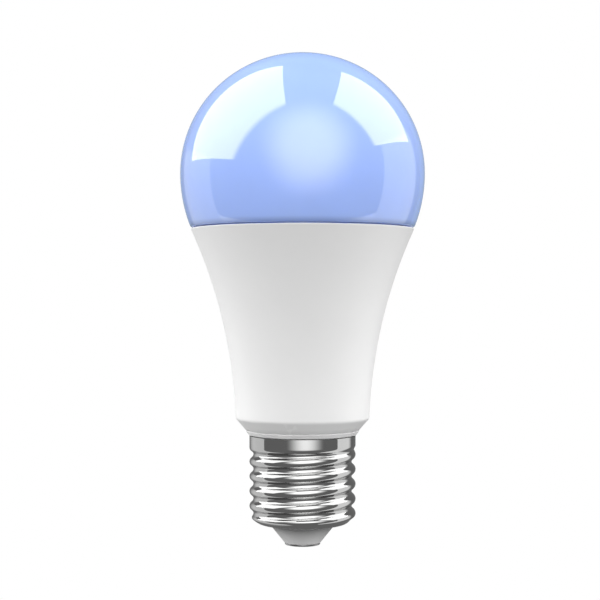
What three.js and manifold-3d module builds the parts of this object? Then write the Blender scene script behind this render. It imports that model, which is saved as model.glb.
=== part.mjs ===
// A smart LED bulb on an E27 screw cap, in millimetres with +Z up.
// The origin is the centre of the end contact's lower face, Z is the bulb's axis and the front is -Y.
import * as THREE from "three";
import { mergeVertices } from "three/addons/utils/BufferGeometryUtils.js";
import Module from "manifold-3d";

const wasm = await Module();
wasm.setup();

// ---------- driving dimensions ----------

// Globe: an oval of revolution, taller below its widest circle than above it
const OVERALL_HEIGHT = 120.6;
const GLOBE_RADIUS = 30;
const GLOBE_WIDEST_Z = 91;
const GLOBE_LOWER_AXIS = 32.7;
const GLOBE_WALL = 1.1;

// Seam between globe and housing
const SEAM_Z = 77.8;
const SEAM_GAP = 0.3;
const SPIGOT_RADIUS = 24;
const SPIGOT_DEPTH = 3.2;
const REBATE_RADIUS = 25;
const REBATE_DEPTH = 3.6;

// Housing: a flared shell with a chamfered shoulder, a lip over the cap and a neck inside the cap
const HOUSING_WALL = 1.6;
const FLARE_FOOT_Z = 31;
const FLARE_FOOT_RADIUS = 16.43;
const LIP_RADIUS = 13.85;
const LIP_Z = 27.3;
const LIP_HEIGHT = 0.9;
const NECK_RADIUS = 11.4;
const NECK_BORE = 9.9;
const NECK_FOOT_Z = 9.5;
const COLLAR_RADIUS = 12.35;
const COLLAR_HEIGHT = 2.4;
const COLLAR_TAPER = 1;
const FUNNEL_RISE = 1.4;
const FUNNEL_FOOT_RISE = 0.5;

// E27 thread: seven right-hand turns to the inch, crest and root rounded to the same radius
const THREAD_PITCH = 25.4 / 7;
const THREAD_DEPTH = 0.98;
const THREAD_ARC = 1.025;
const THREAD_FLANK = THREE.MathUtils.degToRad(46);
const THREAD_CREST_RADIUS = 13.05;
const THREAD_ROOT_RADIUS = THREAD_CREST_RADIUS - THREAD_DEPTH;
const THREAD_PHASE_Z = 0.41;
const THREAD_FOOT = [5.3, 7.4];
const THREAD_RUN_OUT = [22.4, 24.5];

// Screw shell: thin sheet with a plain band above the thread and a rounded edge below it
const SHEET = 0.35;
const SHELL_TOP_Z = LIP_Z - 0.3;
const SHELL_CORNER_RADIUS = 2;
const SHELL_CORNER_Z = 7.2;
const SHELL_MOUTH_RADIUS = 8;
const SHELL_MOUTH_RISE = 0.4;

// Insulator cone and end contact
const CONTACT_RADIUS = 4.35;
const CONTACT_THICKNESS = 0.45;
const CONTACT_EDGE = 0.2;
const RIVET_RADIUS = 1.1;
const RIVET_TOP_Z = 2.4;
const INSULATOR_FOOT_RADIUS = 4.45;
const INSULATOR_TOP_RADIUS = 7.6;
const INSULATOR_TOP_Z = 4.4;
const INSULATOR_BORE = 1.5;
const PLUG_RADIUS = THREAD_ROOT_RADIUS - 1.2;
const PLUG_TAPER = 1;
const PLUG_TOP_Z = NECK_FOOT_Z - 1.6;

// LED stack on the heat sink cup
const FIT_GAP = 0.3;
const REST_GAP = 0.05;
const CUP_WALL = 1;
const CUP_FOOT_Z = 50;
const CUP_TOP_Z = 73.4;
const CUP_PLATE = 1.2;
const PAD_THICKNESS = 0.5;
const PAD_MARGIN = 1.4;
const LED_BOARD_RADIUS = 22.4;
const LED_BOARD_THICKNESS = 1.2;
const LED_BOARD_Z = CUP_TOP_Z + 2 * REST_GAP + PAD_THICKNESS;
const LED_BOARD_TOP_Z = LED_BOARD_Z + LED_BOARD_THICKNESS;
const WHITE_RING_RADIUS = 17;
const WHITE_LEDS = 12;
const COLOUR_LED_AT = { x: 7.6, y: 8.4 };
const SCREW_X = 12.6;
const SCREW_HEAD = { radius: 2.7, height: 1.7, flat: 0.6 };
const SCREW_SHANK = { radius: 1.25, tip: 0.5, length: 6 };
const SCREW_CROSS = { width: 0.6, length: 2.6, depth: 0.8 };
const SCREW_HOLE_RADIUS = { cup: 1.6, pad: 2, board: 1.7 };
const TOOL_LENGTH = 40;

// Openings through the stack for the radio board and the pin header
const RADIO_SLOT = { width: 13.6, depth: 1.8, y: -1.2 };
const HEADER_SLOT = { width: 8.6, depth: 2.2, y: 4.2 };

// Driver board, upright in the neck
const DRIVER_Y = 1.5;
const DRIVER_THICKNESS = 1.2;
const DRIVER_FRONT_Y = DRIVER_Y - DRIVER_THICKNESS / 2;
const DRIVER_BACK_Y = DRIVER_Y + DRIVER_THICKNESS / 2;
const DRIVER_FOOT_Z = 11;
const DRIVER_TOP_Z = 66;
const DRIVER_TONGUE = { halfWidth: 8.8, topZ: 29 };
const DRIVER_BODY = { halfWidth: 12.4, footZ: 32.6 };

// Facets
const BIG_SEGMENTS = 40;
const SHELL_SEGMENTS = 28;
const SMALL_SEGMENTS = 20;
const LEG_SEGMENTS = 16;
const FINE_SEGMENTS = 12;
const ROWS_PER_TURN = 5;

// ---------- materials ----------

const finish = (color, roughness, metalness = 0) =>
  new THREE.MeshStandardMaterial({ color, roughness, metalness });

const BLUE_DIFFUSER = finish(0xa6c2fb, 0.25);
const SILICONE = finish(0x8a8b96, 0.6);
const WHITE_HOUSING = finish(0xe6e6e6, 0.45);
const NICKEL = finish(0xb8b8b8, 0.15, 1);
const GREY_INSULATOR = finish(0x9b9b9b, 0.5);
const CONTACT_METAL = finish(0x8d8d8d, 0.3, 1);
const ALUMINIUM = finish(0xc4c6c8, 0.4, 1);
const THERMAL_GREY = finish(0xb9bcc0, 0.8);
const WHITE_SOLDER_MASK = finish(0xf2f2ee, 0.5);
const LED_WARM = finish(0xf3c34a, 0.4);
const LED_COOL = finish(0xe9e27a, 0.4);
const LED_COLOUR = finish(0xe8edf2, 0.3);
const STEEL = finish(0xa9abad, 0.3, 1);
const GREEN_BOARD = finish(0x1f6b3f, 0.5);
const BLACK_BOARD = finish(0x1d2420, 0.5);
const BLACK_EPOXY = finish(0x1b1b1d, 0.5);
const BLACK_SLEEVE = finish(0x222225, 0.4);
const CAPACITOR_SLEEVE = finish(0x1c2740, 0.35);
const FILM_RED = finish(0x9b3b24, 0.4);
const FERRITE = finish(0x33343a, 0.7);
const COPPER = finish(0xb9673a, 0.35, 1);
const YELLOW_TAPE = finish(0xd9b52c, 0.4);
const BOBBIN_BLACK = finish(0x26262a, 0.5);
const GOLD = finish(0xcaa24a, 0.3, 1);
const RED_WIRE = finish(0xb3261e, 0.45);
const BLACK_WIRE = finish(0x17171a, 0.45);

// ---------- shape helpers ----------

const bulb = new THREE.Group();

function add(name, geometry, material, x = 0, y = 0, z = 0, turn = 0) {
  const mesh = new THREE.Mesh(geometry, material);
  mesh.name = name;
  mesh.position.set(x, y, z);
  mesh.rotation.z = turn;
  bulb.add(mesh);
}

const v2 = (r, z) => new THREE.Vector2(r, z);

// Turns a closed outline of [radius, height] points about Z, whichever way round it is drawn.
function turned(outline, segments = BIG_SEGMENTS) {
  const points = outline.map((p) => v2(...p));
  if (THREE.ShapeUtils.area(points) < 0) points.reverse();
  const onAxis = points.findIndex((p, i) => p.x === 0 && points[(i + 1) % points.length].x === 0);
  if (onAxis >= 0) points.push(...points.splice(0, onAxis + 1));
  else points.push(points[0].clone());
  return new THREE.LatheGeometry(points, segments).rotateX(Math.PI / 2);
}

const cylinder = (radius, height, segments = SMALL_SEGMENTS) =>
  turned([[0, 0], [radius, 0], [radius, height], [0, height]], segments);

// A box centred in X and Y that stands on its own Z = 0.
const block = (width, depth, height) =>
  new THREE.BoxGeometry(width, depth, height).translate(0, 0, height / 2);

// A tube of round section along a smooth curve through the points.
function tube(points, radius, steps) {
  const section = new THREE.Shape().absarc(0, 0, radius, 0, 2 * Math.PI);
  const path = new THREE.CatmullRomCurve3(points.map((p) => new THREE.Vector3(...p)));
  const options = { steps, curveSegments: 4, extrudePath: path, bevelEnabled: false };
  return new THREE.ExtrudeGeometry(section, options);
}

// An outline in the XZ plane, given thickness along Y and centred on Y = 0.
function plate(outline, thickness) {
  const shape = new THREE.Shape(outline.map((p) => v2(...p)));
  const sheet = new THREE.ExtrudeGeometry(shape, { depth: thickness, bevelEnabled: false });
  return sheet.translate(0, 0, -thickness / 2).rotateX(Math.PI / 2);
}

// ---------- joining and cutting ----------

function solid(geometry) {
  const bare = geometry.clone();
  bare.deleteAttribute("normal");
  bare.deleteAttribute("uv");
  const merged = mergeVertices(bare, 1e-4);
  const vertProperties = new Float32Array(merged.attributes.position.array);
  const triVerts = new Uint32Array(merged.index.array);
  return new wasm.Manifold(new wasm.Mesh({ numProp: 3, vertProperties, triVerts }));
}

function fromSolid(made) {
  const mesh = made.getMesh();
  const geometry = new THREE.BufferGeometry();
  geometry.setAttribute("position", new THREE.BufferAttribute(mesh.vertProperties, 3));
  geometry.setIndex(new THREE.BufferAttribute(mesh.triVerts, 1));
  return geometry;
}

const cut = (geometry, tools) =>
  fromSolid(tools.reduce((left, tool) => left.subtract(solid(tool)), solid(geometry)));

const join = (...pieces) => fromSolid(pieces.map(solid).reduce((a, b) => a.add(b)));

// ---------- outline formulas ----------

// The globe's outside, or a line the given distance inside it, between two angles above its widest
// circle, as [radius, height] points.
function globeArc(inset, fromAngle, toAngle, steps) {
  const upper = OVERALL_HEIGHT - GLOBE_WIDEST_Z;
  return Array.from({ length: steps + 1 }, (_, i) => {
    const angle = fromAngle + ((toAngle - fromAngle) * i) / steps;
    const height = (angle < 0 ? GLOBE_LOWER_AXIS : upper) - inset;
    const radius = Math.max(0, (GLOBE_RADIUS - inset) * Math.cos(angle));
    return [radius < 1e-9 ? 0 : radius, GLOBE_WIDEST_Z + height * Math.sin(angle)];
  });
}

const globeAngleAt = (z, inset) => -Math.asin((GLOBE_WIDEST_Z - z) / (GLOBE_LOWER_AXIS - inset));
const SEAM_RADIUS = globeArc(0, globeAngleAt(SEAM_Z + SEAM_GAP, 0), 0, 1)[0][0];

// The housing's concave flare from its foot to the seam, steep at first and opening upwards.
const flare = new THREE.CubicBezierCurve(
  v2(FLARE_FOOT_RADIUS, FLARE_FOOT_Z),
  v2(16.95, 45.2),
  v2(20, 61.3),
  v2(SEAM_RADIUS, SEAM_Z),
);

function flareRadius(z) {
  let low = 0;
  let high = 1;
  while (high - low > 1e-6) {
    const middle = (low + high) / 2;
    if (flare.getPoint(middle).y < z) low = middle;
    else high = middle;
  }
  return flare.getPoint(low).x;
}

// Points down the flare from one height to another, the given distance inside it.
const flareLine = (fromZ, toZ, inset, steps) =>
  Array.from({ length: steps + 1 }, (_, i) => {
    const z = fromZ + ((toZ - fromZ) * i) / steps;
    return [flareRadius(z) - inset, z];
  });

// ---------- globe and sealant ----------

function diffuserGlobe() {
  const shoulderZ = SEAM_Z + SEAM_GAP;
  const innerFloorZ = shoulderZ + GLOBE_WALL;
  const spigotFootZ = SEAM_Z - SPIGOT_DEPTH;
  const spigotBore = SPIGOT_RADIUS - GLOBE_WALL;
  return turned([
    [spigotBore, spigotFootZ],
    [SPIGOT_RADIUS, spigotFootZ],
    [SPIGOT_RADIUS, shoulderZ],
    ...globeArc(0, globeAngleAt(shoulderZ, 0), 0, 3),
    ...globeArc(0, 0, Math.PI / 2, 9).slice(1),
    ...globeArc(GLOBE_WALL, Math.PI / 2, 0, 8),
    ...globeArc(GLOBE_WALL, 0, globeAngleAt(innerFloorZ, GLOBE_WALL), 3).slice(1),
    [spigotBore, innerFloorZ],
  ]);
}

function sealantRing() {
  const inner = SPIGOT_RADIUS + FIT_GAP;
  const outer = REBATE_RADIUS - FIT_GAP;
  const footZ = SEAM_Z - SPIGOT_DEPTH;
  return turned([[inner, footZ], [outer, footZ], [outer, SEAM_Z], [inner, SEAM_Z]]);
}

add("diffuser_globe", diffuserGlobe(), BLUE_DIFFUSER);
add("sealant_ring", sealantRing(), SILICONE);

// ---------- housing ----------

function outerHousing() {
  const ledgeZ = SEAM_Z - REBATE_DEPTH;
  const funnelTopZ = FLARE_FOOT_Z + FUNNEL_RISE;
  return turned([
    [NECK_BORE, NECK_FOOT_Z],
    [NECK_RADIUS, NECK_FOOT_Z],
    [NECK_RADIUS, LIP_Z - COLLAR_HEIGHT - COLLAR_TAPER],
    [COLLAR_RADIUS, LIP_Z - COLLAR_HEIGHT],
    [COLLAR_RADIUS, LIP_Z],
    [LIP_RADIUS, LIP_Z],
    [LIP_RADIUS, LIP_Z + LIP_HEIGHT],
    ...flareLine(FLARE_FOOT_Z, SEAM_Z, 0, 9),
    [REBATE_RADIUS, SEAM_Z],
    [REBATE_RADIUS, ledgeZ],
    ...flareLine(ledgeZ, funnelTopZ, HOUSING_WALL, 7),
    [NECK_BORE, LIP_Z + FUNNEL_FOOT_RISE],
  ]);
}

add("outer_housing", outerHousing(), WHITE_HOUSING);

// ---------- screw cap ----------

// Height of the thread above its root at an axial distance from the crest, rounded at both ends.
function threadRise(fromCrest) {
  const reach = THREAD_ARC * Math.sin(THREAD_FLANK);
  const fromRoot = THREAD_PITCH / 2 - fromCrest;
  if (fromCrest <= reach) return THREAD_DEPTH - THREAD_ARC + Math.sqrt(THREAD_ARC ** 2 - fromCrest ** 2);
  if (fromRoot <= reach) return THREAD_ARC - Math.sqrt(THREAD_ARC ** 2 - fromRoot ** 2);
  const share = (fromCrest - reach) / (THREAD_PITCH / 2 - 2 * reach);
  return THREE.MathUtils.lerp(threadRise(reach), threadRise(THREAD_PITCH / 2 - reach), share);
}

// How far the shell stands above its root radius at an angle and a height. The groove runs out into
// the plain band above it, and the crest sinks into the rounded edge below it.
function shellRise(angle, z) {
  const turns = (z - THREAD_PHASE_Z) / THREAD_PITCH - angle / (2 * Math.PI);
  const fromCrest = Math.abs(turns - Math.round(turns)) * THREAD_PITCH;
  const groove = 1 - THREE.MathUtils.smoothstep(z, ...THREAD_RUN_OUT);
  const foot = THREE.MathUtils.smoothstep(z, ...THREAD_FOOT);
  const sunk = THREAD_DEPTH - threadRise(Math.min(fromCrest, THREAD_PITCH / 2));
  return foot * (THREAD_DEPTH - groove * sunk);
}

// One face of the sheet from the mouth, round the corner and up to the top, at its root radius.
function shellFace(inset) {
  const corner = SHELL_CORNER_RADIUS - inset;
  const centre = THREAD_ROOT_RADIUS - SHELL_CORNER_RADIUS;
  const arc = Array.from({ length: 5 }, (_, i) => {
    const angle = (-Math.PI / 2) * (1 - i / 4);
    return [centre + corner * Math.cos(angle), SHELL_CORNER_Z + corner * Math.sin(angle)];
  });
  const rows = Math.ceil(((THREAD_RUN_OUT[1] - SHELL_CORNER_Z) / THREAD_PITCH) * ROWS_PER_TURN);
  const wall = Array.from({ length: rows }, (_, i) => [
    THREAD_ROOT_RADIUS - inset,
    SHELL_CORNER_Z + ((THREAD_RUN_OUT[1] - SHELL_CORNER_Z) * (i + 1)) / rows,
  ]);
  const mouth = [SHELL_MOUTH_RADIUS, arc[0][1] - SHELL_MOUTH_RISE];
  return [mouth, ...arc, ...wall, [THREAD_ROOT_RADIUS - inset, SHELL_TOP_Z]];
}

function screwShell() {
  const geometry = turned([...shellFace(0), ...shellFace(SHEET).reverse()], SHELL_SEGMENTS);
  const place = geometry.attributes.position;
  for (let i = 0; i < place.count; i++) {
    const [x, y, z] = [place.getX(i), place.getY(i), place.getZ(i)];
    const radius = Math.hypot(x, y);
    const grow = (radius + shellRise(Math.atan2(y, x), z)) / radius;
    place.setXY(i, x * grow, y * grow);
  }
  return geometry;
}

function baseInsulator() {
  const footZ = CONTACT_THICKNESS + REST_GAP;
  const flangeZ = SHELL_CORNER_Z - SHELL_CORNER_RADIUS + SHEET + FIT_GAP;
  return turned([
    [INSULATOR_BORE, footZ],
    [INSULATOR_FOOT_RADIUS, footZ],
    [INSULATOR_TOP_RADIUS, INSULATOR_TOP_Z],
    [INSULATOR_TOP_RADIUS, flangeZ],
    [THREAD_ROOT_RADIUS - SHELL_CORNER_RADIUS, flangeZ],
    [PLUG_RADIUS, flangeZ + PLUG_TAPER],
    [PLUG_RADIUS, PLUG_TOP_Z],
    [INSULATOR_BORE, PLUG_TOP_Z],
  ], SHELL_SEGMENTS);
}

function centreContact() {
  return turned([
    [0, 0],
    [CONTACT_RADIUS - CONTACT_EDGE, 0],
    [CONTACT_RADIUS, CONTACT_EDGE],
    [CONTACT_RADIUS, CONTACT_THICKNESS],
    [RIVET_RADIUS, CONTACT_THICKNESS],
    [RIVET_RADIUS, RIVET_TOP_Z],
    [0, RIVET_TOP_Z],
  ], SHELL_SEGMENTS);
}

add("screw_shell", screwShell(), NICKEL);
add("base_insulator", baseInsulator(), GREY_INSULATOR);
add("centre_contact", centreContact(), CONTACT_METAL);

// ---------- heat sink cup, thermal pad and LED board ----------

const TOOL_Z = CUP_TOP_Z - TOOL_LENGTH / 2;
const slotTool = ({ width, depth, y }) => block(width, depth, TOOL_LENGTH).translate(0, y, TOOL_Z);
const screwTool = (radius, x) => cylinder(radius, TOOL_LENGTH, FINE_SEGMENTS).translate(x, 0, TOOL_Z);
const stackTools = (radius) => [
  slotTool(RADIO_SLOT),
  slotTool(HEADER_SLOT),
  screwTool(radius, -SCREW_X),
  screwTool(radius, SCREW_X),
];

function heatSinkCup() {
  const outside = HOUSING_WALL + FIT_GAP;
  const plateFootZ = CUP_TOP_Z - CUP_PLATE;
  const cup = turned([
    ...flareLine(CUP_FOOT_Z, CUP_TOP_Z, outside, 4),
    [0, CUP_TOP_Z],
    [0, plateFootZ],
    ...flareLine(plateFootZ, CUP_FOOT_Z, outside + CUP_WALL, 4),
  ]);
  return cut(cup, stackTools(SCREW_HOLE_RADIUS.cup));
}

function thermalPad() {
  const disc = cylinder(LED_BOARD_RADIUS - PAD_MARGIN, PAD_THICKNESS, BIG_SEGMENTS);
  return cut(disc.translate(0, 0, CUP_TOP_Z + REST_GAP), stackTools(SCREW_HOLE_RADIUS.pad));
}

function ledBoard() {
  const disc = cylinder(LED_BOARD_RADIUS, LED_BOARD_THICKNESS, BIG_SEGMENTS);
  return cut(disc.translate(0, 0, LED_BOARD_Z), stackTools(SCREW_HOLE_RADIUS.board));
}

// A pan-head screw with a cross recess, whose head rests on Z = 0.
function boardScrew() {
  const [head, shank, cross] = [SCREW_HEAD, SCREW_SHANK, SCREW_CROSS];
  const pin = turned([
    [0, -shank.length],
    [shank.tip, -shank.length],
    [shank.radius, 1 - shank.length],
    [shank.radius, 0],
    [head.radius, 0],
    [head.radius, head.height * head.flat],
    [head.radius * head.flat, head.height],
    [0, head.height],
  ], FINE_SEGMENTS);
  const recessZ = head.height - cross.depth;
  const slot = (width, depth) => block(width, depth, head.height).translate(0, 0, recessZ);
  return cut(pin, [slot(cross.length, cross.width), slot(cross.width, cross.length)]);
}

add("heat_sink_cup", heatSinkCup(), ALUMINIUM);
add("thermal_pad", thermalPad(), THERMAL_GREY);
add("led_board", ledBoard(), WHITE_SOLDER_MASK);
add("board_screw_left", boardScrew(), STEEL, -SCREW_X, 0, LED_BOARD_TOP_Z + REST_GAP);
add("board_screw_right", boardScrew(), STEEL, SCREW_X, 0, LED_BOARD_TOP_Z + REST_GAP, Math.PI / 4);

// ---------- LEDs ----------

const WHITE_LED = { width: 2.8, length: 3.5, height: 0.8, rim: 0.35, well: 0.3 };
const COLOUR_LED = { side: 5, height: 1.5, lens: 2, well: 0.5 };

const whiteLed = () => {
  const { width, length, height, rim, well } = WHITE_LED;
  const pocket = block(width - 2 * rim, length - 2 * rim, height).translate(0, 0, height - well);
  return cut(block(width, length, height), [pocket]);
};

const colourLed = () => {
  const { side, height, lens, well } = COLOUR_LED;
  const pocket = cylinder(lens, height, FINE_SEGMENTS).translate(0, 0, height - well);
  return cut(block(side, side, height), [pocket]);
};

for (let i = 0; i < WHITE_LEDS; i++) {
  const angle = ((i + 0.5) / WHITE_LEDS) * 2 * Math.PI;
  const [x, y] = [WHITE_RING_RADIUS * Math.cos(angle), WHITE_RING_RADIUS * Math.sin(angle)];
  const warm = i % 2 === 0;
  const name = `led_${warm ? "warm" : "cool"}_white_${Math.floor(i / 2) + 1}`;
  add(name, whiteLed(), warm ? LED_WARM : LED_COOL, x, y, LED_BOARD_TOP_Z + REST_GAP, angle);
}

[[1, 1], [-1, 1], [-1, -1], [1, -1]].forEach(([right, back], i) => {
  const [x, y] = [right * COLOUR_LED_AT.x, back * COLOUR_LED_AT.y];
  add(`led_colour_${i + 1}`, colourLed(), LED_COLOUR, x, y, LED_BOARD_TOP_Z + REST_GAP);
});

// ---------- driver board and what is on it ----------

function driverBoard() {
  const [tongue, body] = [DRIVER_TONGUE, DRIVER_BODY];
  return plate([
    [-tongue.halfWidth, DRIVER_FOOT_Z],
    [tongue.halfWidth, DRIVER_FOOT_Z],
    [tongue.halfWidth, tongue.topZ],
    [body.halfWidth, body.footZ],
    [body.halfWidth, DRIVER_TOP_Z],
    [-body.halfWidth, DRIVER_TOP_Z],
    [-body.halfWidth, body.footZ],
    [-tongue.halfWidth, tongue.topZ],
  ], DRIVER_THICKNESS);
}

// An axial part with a round body and a lead at each end, standing along Z from its lower lead's end.
function axialPart({ radius, length, lead, wire }) {
  return turned([
    [0, 0],
    [wire, 0],
    [wire, lead],
    [radius * 0.7, lead],
    [radius, lead + radius * 0.3],
    [radius, lead + length - radius * 0.3],
    [radius * 0.7, lead + length],
    [wire, lead + length],
    [wire, 2 * lead + length],
    [0, 2 * lead + length],
  ], LEG_SEGMENTS);
}

const CRIMP = { depth: 0.35, z: 2, half: 0.4 };

// An electrolytic capacitor with its crimped groove near the foot and a rolled edge at the top.
function electrolytic({ radius, length }) {
  const { depth, z, half } = CRIMP;
  const rim = 0.5;
  return turned([
    [0, 0],
    [radius - rim, 0],
    [radius, rim],
    [radius, z - half],
    [radius - depth, z],
    [radius, z + half],
    [radius, length - rim],
    [radius - rim, length],
    [0, length],
  ], SMALL_SEGMENTS);
}

// A drum choke: a winding between two flanges.
function drumChoke({ radius, height, flange, step }) {
  const waist = radius - step;
  return turned([
    [0, 0],
    [radius, 0],
    [radius, flange],
    [waist, flange],
    [waist, height - flange],
    [radius, height - flange],
    [radius, height],
    [0, height],
  ], SMALL_SEGMENTS);
}

// A transformer core seen from the front: a frame with a round centre leg that stands along Z.
const CORE = { width: 11.4, height: 10, depth: 5, wall: 1.5, leg: 1.6 };

function transformerCore() {
  const { width, height, depth, wall, leg } = CORE;
  const frame = cut(block(width, depth, height), [
    block(width - 2 * wall, depth * 2, height - 2 * wall).translate(0, 0, wall),
  ]);
  return join(frame, cylinder(leg, height, LEG_SEGMENTS));
}

// The bobbin is a spool on the core's leg, and the winding fills the spool.
const BOBBIN = {
  bore: CORE.leg + 0.2,
  tube: 0.5,
  flange: 0.6,
  gap: 0.2,
  radius: CORE.width / 2 - CORE.wall - 0.2,
  height: CORE.height - 2 * CORE.wall - 0.4,
};
const WINDING_GAP = 0.1;

function transformerBobbin() {
  const { bore, tube, flange, radius, height } = BOBBIN;
  return turned([
    [bore, 0],
    [radius, 0],
    [radius, flange],
    [bore + tube, flange],
    [bore + tube, height - flange],
    [radius, height - flange],
    [radius, height],
    [bore, height],
  ], SMALL_SEGMENTS);
}

function transformerWinding() {
  const inner = BOBBIN.bore + BOBBIN.tube + WINDING_GAP;
  const outer = BOBBIN.radius - 0.3;
  const height = BOBBIN.height - 2 * BOBBIN.flange - 2 * WINDING_GAP;
  return turned([[inner, 0], [outer, 0], [outer, height], [inner, height]], SMALL_SEGMENTS);
}

const PACKAGE = { standoff: 0.15, leg: 0.45, lead: 0.5, reach: 1 };

// A chip with legs on two sides, its back on Y = 0 and its body towards +Y.
function chip({ width, height, thickness, legs }) {
  const { standoff, leg, lead, reach } = PACKAGE;
  const body = block(width, thickness, height).translate(0, thickness / 2 + standoff, 0);
  const pitch = width / legs;
  const pins = Array.from({ length: legs }, (_, i) =>
    block(leg, lead, height + 2 * reach).translate((i - (legs - 1) / 2) * pitch, lead / 2, -reach));
  return join(body, ...pins);
}

const onFront = (depth) => DRIVER_FRONT_Y - REST_GAP - depth / 2;
const ON_BACK = DRIVER_BACK_Y + REST_GAP;

const RESISTOR = { radius: 2, length: 8.5, lead: 1.8, wire: 0.4 };
const RESISTOR_AT = { x: -4.4, y: -1.5, z: 13.4 };
const CHOKE = { radius: 3, height: 7.5, flange: 1, step: 0.5 };
const CHOKE_AT = { x: 4, y: -2.5, z: 16 };
const RECTIFIER = { width: 5, height: 4.4, thickness: 1.4, legs: 2 };
const RECTIFIER_Z = 24;
const INPUT_CAPACITOR = { radius: 5, length: 15 };
const INPUT_CAPACITOR_AT = { x: -5.6, y: -4.5, z: 33.4 };
const FILM = { width: 9, depth: 5, height: 8 };
const FILM_AT = { x: 6.4, z: 33.6 };
const OUTPUT_CAPACITOR = { radius: 4, length: 11 };
const OUTPUT_CAPACITOR_AT = { x: 6.6, y: -3.5, z: 45 };
const DRIVER_CHIP = { width: 5, height: 4, thickness: 1.5, legs: 4 };
const DRIVER_CHIP_AT = { x: -5, z: 45 };
const DIODE = { width: 2.8, height: 4.4, thickness: 2.2, legs: 1 };
const DIODE_AT = { x: 5, z: 52 };
const CORE_AT = { x: -5.8, y: DRIVER_FRONT_Y - FIT_GAP - CORE.width / 2 + CORE.wall, z: 51.5 };
const BOBBIN_AT = { ...CORE_AT, z: CORE_AT.z + CORE.wall + BOBBIN.gap };
const WINDING_AT = { ...CORE_AT, z: BOBBIN_AT.z + BOBBIN.flange + WINDING_GAP };

const addAt = (name, geometry, material, { x = 0, y, z }) => add(name, geometry, material, x, y, z);

addAt("driver_board", driverBoard(), GREEN_BOARD, { y: DRIVER_Y, z: 0 });
addAt("fusible_resistor", axialPart(RESISTOR), BLACK_SLEEVE, RESISTOR_AT);
addAt("emi_choke", drumChoke(CHOKE), COPPER, CHOKE_AT);
addAt("bridge_rectifier", chip(RECTIFIER), BLACK_EPOXY, { y: ON_BACK, z: RECTIFIER_Z });
addAt("input_capacitor", electrolytic(INPUT_CAPACITOR), CAPACITOR_SLEEVE, INPUT_CAPACITOR_AT);
addAt("film_capacitor", block(FILM.width, FILM.depth, FILM.height), FILM_RED, {
  ...FILM_AT,
  y: onFront(FILM.depth),
});
addAt("transformer_core", transformerCore(), FERRITE, CORE_AT);
addAt("transformer_bobbin", transformerBobbin(), BOBBIN_BLACK, BOBBIN_AT);
addAt("transformer_winding", transformerWinding(), YELLOW_TAPE, WINDING_AT);
addAt("output_capacitor", electrolytic(OUTPUT_CAPACITOR), CAPACITOR_SLEEVE, OUTPUT_CAPACITOR_AT);
addAt("driver_chip", chip(DRIVER_CHIP), BLACK_EPOXY, { ...DRIVER_CHIP_AT, y: ON_BACK });
addAt("output_diode", chip(DIODE), BLACK_EPOXY, { ...DIODE_AT, y: ON_BACK });

// ---------- pin header between the boards ----------

const HEADER = { pins: 4, pitch: 1.9, bar: 2, depth: 1.8, pin: 0.64, proud: 1.6 };
const SOCKET = { width: 9.6, depth: 3.4, height: 2.4, slot: 1.4 };

// A bar on the driver board's top edge, with pins that stand up through the LED board.
function ledHeader() {
  const bar = block(HEADER.pins * HEADER.pitch, HEADER.depth, HEADER.bar);
  const tall = LED_BOARD_TOP_Z + HEADER.proud - DRIVER_TOP_Z;
  const pins = Array.from({ length: HEADER.pins }, (_, i) =>
    block(HEADER.pin, HEADER.pin, tall).translate((i - (HEADER.pins - 1) / 2) * HEADER.pitch, 0, 0));
  return join(bar, ...pins);
}

function ledSocket() {
  const { width, depth, height, slot } = SOCKET;
  const way = block(HEADER.pins * HEADER.pitch, slot, 3 * height).translate(0, 0, -height);
  return cut(block(width, depth, height), [way]);
}

add("led_header", ledHeader(), GOLD, 0, HEADER_SLOT.y, DRIVER_TOP_Z + REST_GAP);
add("led_socket", ledSocket(), BOBBIN_BLACK, 0, HEADER_SLOT.y, LED_BOARD_TOP_Z + REST_GAP);

// ---------- radio module ----------

const RADIO = { width: 12.8, thickness: 1, footZ: 62, topZ: 83, notch: 0.8 };
const radioFrontY = RADIO_SLOT.y - RADIO.thickness / 2;

function radioBoard() {
  const { notch } = RADIO;
  const half = RADIO.width / 2;
  return plate([
    [-half, RADIO.footZ],
    [half, RADIO.footZ],
    [half, RADIO.topZ - notch],
    [half - notch, RADIO.topZ],
    [-half + notch, RADIO.topZ],
    [-half, RADIO.topZ - notch],
  ], RADIO.thickness);
}

const SHIELD = { width: 10.4, depth: 1.6, height: 8.6, inset: 0.8 };
const ANTENNA = { strip: 0.7, step: 1.6, reach: 4, runs: 6, thickness: 0.2, rise: 2.4 };

// A flat strip folded back and forth: upright runs with a link at the top or the foot between each two.
function antennaStrip() {
  const { strip, step, reach, runs, thickness } = ANTENNA;
  const runX = (i) => (i - (runs - 1) / 2) * step;
  const pieces = [block(strip, thickness, reach).translate(runX(0), 0, 0)];
  for (let i = 1; i < runs; i++) {
    pieces.push(block(strip, thickness, reach).translate(runX(i), 0, 0));
    pieces.push(block(step, thickness, strip).translate(runX(i - 0.5), 0, i % 2 ? reach - strip : 0));
  }
  return join(...pieces);
}

addAt("radio_board", radioBoard(), BLACK_BOARD, { y: RADIO_SLOT.y, z: 0 });
addAt("radio_shield_can", block(SHIELD.width, SHIELD.depth, SHIELD.height), STEEL, {
  y: radioFrontY - REST_GAP - SHIELD.depth / 2,
  z: RADIO.footZ + SHIELD.inset,
});
addAt("radio_antenna", antennaStrip(), GOLD, {
  y: radioFrontY - REST_GAP - ANTENNA.thickness / 2,
  z: LED_BOARD_TOP_Z + ANTENNA.rise,
});

// ---------- mains wires ----------

const WIRE_RADIUS = { live: 0.65, neutral: 0.5 };

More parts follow.
